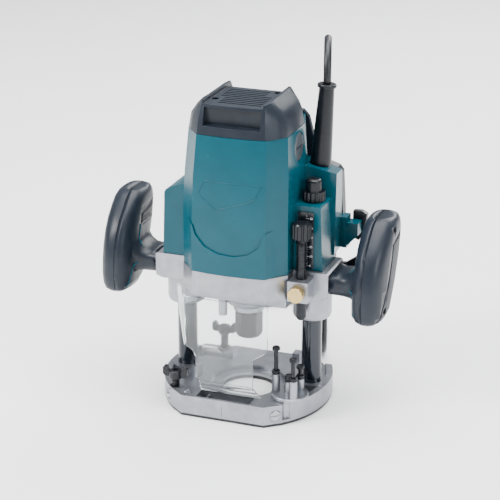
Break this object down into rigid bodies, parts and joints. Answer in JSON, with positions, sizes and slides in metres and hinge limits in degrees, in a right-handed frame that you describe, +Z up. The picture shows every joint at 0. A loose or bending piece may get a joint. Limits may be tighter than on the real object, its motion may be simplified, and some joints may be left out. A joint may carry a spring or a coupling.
{
  "type": "plunge router",
  "caption": "Two-handed plunge router: a teal motor head with closed D handles slides on two columns over a flat-sided base with a depth-stop turret, collet and cord",
  "frame": {"origin": "on the work surface, on the cutter's axis: the middle of the base's footprint, under the sole", "axes": "+Z up along the spindle and the two columns; +X to the handle beside the depth stop; -Y is the front, with the badge panel, the depth scale and the stopper pole"},
  "size_m": [0.2936, 0.3933, 0.3576],
  "materials": {
    "cast_aluminium": "bright silver cast aluminium, fine cast grain on the walls, machined flats",
    "sole_plastic": "black phenolic sheet, satin",
    "blued_steel": "dark blued ground steel, glossy",
    "black_plastic": "black moulded nylon, satin",
    "black_oxide": "black oxide steel, satin",
    "steel": "bright turned steel",
    "brass": "pale turned brass",
    "teal_plastic": "teal moulded nylon, semi-gloss with a light texture",
    "slate_plastic": "dark slate-blue moulded nylon, satin",
    "grip_rubber": "soft slate-blue overmould, matte",
    "clear_plastic": "clear polycarbonate sheet",
    "scale_print": null,
    "grey_insert": "grey moulded plastic",
    "spring_steel": "plain spring wire",
    "copper_winding": "steel laminations wound with enamelled copper",
    "carbon": "pressed carbon",
    "cord_rubber": "black rubber cord, matte"
  },
  "bodies": {
    "base": {"base_casting": "cast_aluminium", "sole_plate": "sole_plastic", "guide_column_left": "blued_steel", "guide_column_right": "blued_steel", "return_spring_left": "spring_steel", "return_spring_right": "spring_steel", "upper_limit_rod": "steel", "turret_screw": "black_oxide", "chip_deflector": "clear_plastic", "power_cord": "cord_rubber", "cord_coil": "cord_rubber", "cord_plug": "cord_rubber"},
    "head": {"motor_bracket": "cast_aluminium", "motor_housing": "teal_plastic", "stator": "copper_winding", "lower_bearing": "steel", "upper_bearing": "steel", "brush_cap_left": "grey_insert", "brush_cap_right": "grey_insert", "carbon_brush_left": "carbon", "carbon_brush_right": "carbon", "rear_cover": "slate_plastic", "top_cap": "slate_plastic", "cap_screw_1": "black_oxide", "cap_screw_2": "black_oxide", "depth_scale": "scale_print", "handle_left_inner": "slate_plastic", "handle_left_outer": "slate_plastic", "handle_left_pad": "grip_rubber", "handle_left_screw_upper": "black_oxide", "handle_left_screw_lower": "black_oxide", "handle_right_inner": "slate_plastic", "handle_right_outer": "slate_plastic", "handle_right_pad": "grip_rubber", "handle_right_screw_upper": "black_oxide", "handle_right_screw_lower": "black_oxide", "cord_guard": "black_plastic"},
    "spindle": {"spindle_shaft": "steel", "armature_core": "steel", "commutator": "copper_winding", "cooling_fan": "grey_insert", "collet_cone": "steel", "collet_nut": "black_oxide"},
    "turret": {"turret_block": "cast_aluminium", "stop_nut_1": "black_oxide", "stop_nut_2": "black_oxide", "stop_nut_3": "black_oxide"},
    "bolt_1": {"stop_bolt_1": "black_oxide"},
    "bolt_2": {"stop_bolt_2": "black_oxide"},
    "bolt_3": {"stop_bolt_3": "black_oxide"},
    "pole": {"stopper_pole": "black_oxide", "pole_knob": "black_plastic"},
    "pole_clamp": {"pole_clamp_screw": "brass"},
    "limit_knob": {"upper_limit_knob": "black_plastic"},
    "front_wing": {"front_wing_screw": "black_plastic"},
    "rear_wing": {"rear_wing_screw": "black_plastic"},
    "rod_clamp": {"rod_clamp_screw": "steel"},
    "plunge_lock": {"plunge_lock_lever": "black_plastic"},
    "switch": {"switch_lever": "black_plastic"}
  },
  "joints": [
    {"name": "plunge", "type": "slide", "parent": "base", "child": "head", "axis": [0, 0, -1], "range_m": [0, 0.0475], "stiffness_N_per_m": 500, "springref_m": -0.14, "deforming": ["return_spring_left", "return_spring_right"]},
    {"name": "spindle_spin", "type": "hinge", "parent": "head", "child": "spindle", "pos_m": [0, 0, 0.1], "axis": [0, 0, 1], "continuous": true},
    {"name": "turret_turn", "type": "hinge", "parent": "base", "child": "turret", "pos_m": [0.058, -0.0433, 0.03], "axis": [0, 0, 1], "continuous": true},
    {"name": "bolt_1_screw", "type": "slide", "parent": "turret", "child": "bolt_1", "axis": [0, 0, -1], "range_m": [0, 0.01]},
    {"name": "bolt_2_screw", "type": "slide", "parent": "turret", "child": "bolt_2", "axis": [0, 0, -1], "range_m": [0, 0.01]},
    {"name": "bolt_3_screw", "type": "slide", "parent": "turret", "child": "bolt_3", "axis": [0, 0, -1], "range_m": [0, 0.005]},
    {"name": "pole_slide", "type": "slide", "parent": "head", "child": "pole", "axis": [0, 0, 1], "range_m": [0, 0.03]},
    {"name": "pole_clamp_turn", "type": "hinge", "parent": "head", "child": "pole_clamp", "pos_m": [0.0646, -0.05, 0.131], "axis": [0, 1, 0], "range_deg": [-180, 180]},
    {"name": "limit_knob_turn", "type": "hinge", "parent": "base", "child": "limit_knob", "pos_m": [0.066, 0, 0.22], "axis": [0, 0, 1], "range_deg": [-180, 180]},
    {"name": "front_wing_turn", "type": "hinge", "parent": "base", "child": "front_wing", "pos_m": [-0.056, -0.058, 0.03], "axis": [0, 0, 1], "range_deg": [-180, 180]},
    {"name": "rear_wing_turn", "type": "hinge", "parent": "base", "child": "rear_wing", "pos_m": [-0.046, 0.052, 0.03], "axis": [0, 0, 1], "range_deg": [-180, 180]},
    {"name": "rod_clamp_turn", "type": "hinge", "parent": "base", "child": "rod_clamp", "pos_m": [0.0524, -0.0698, 0.0116], "axis": [0.6253, -0.7804, 0], "range_deg": [-180, 180]},
    {"name": "plunge_lock_turn", "type": "hinge", "parent": "head", "child": "plunge_lock", "pos_m": [0.078, 0.02, 0.133], "axis": [0, 1, 0], "range_deg": [-25, 25]},
    {"name": "switch_pull", "type": "hinge", "parent": "head", "child": "switch", "pos_m": [0.095, 0.05, 0.172], "axis": [0, 1, 0], "range_deg": [0, 8], "stiffness_Nm_per_rad": 0.3, "springref_deg": -8.59}
  ]
}
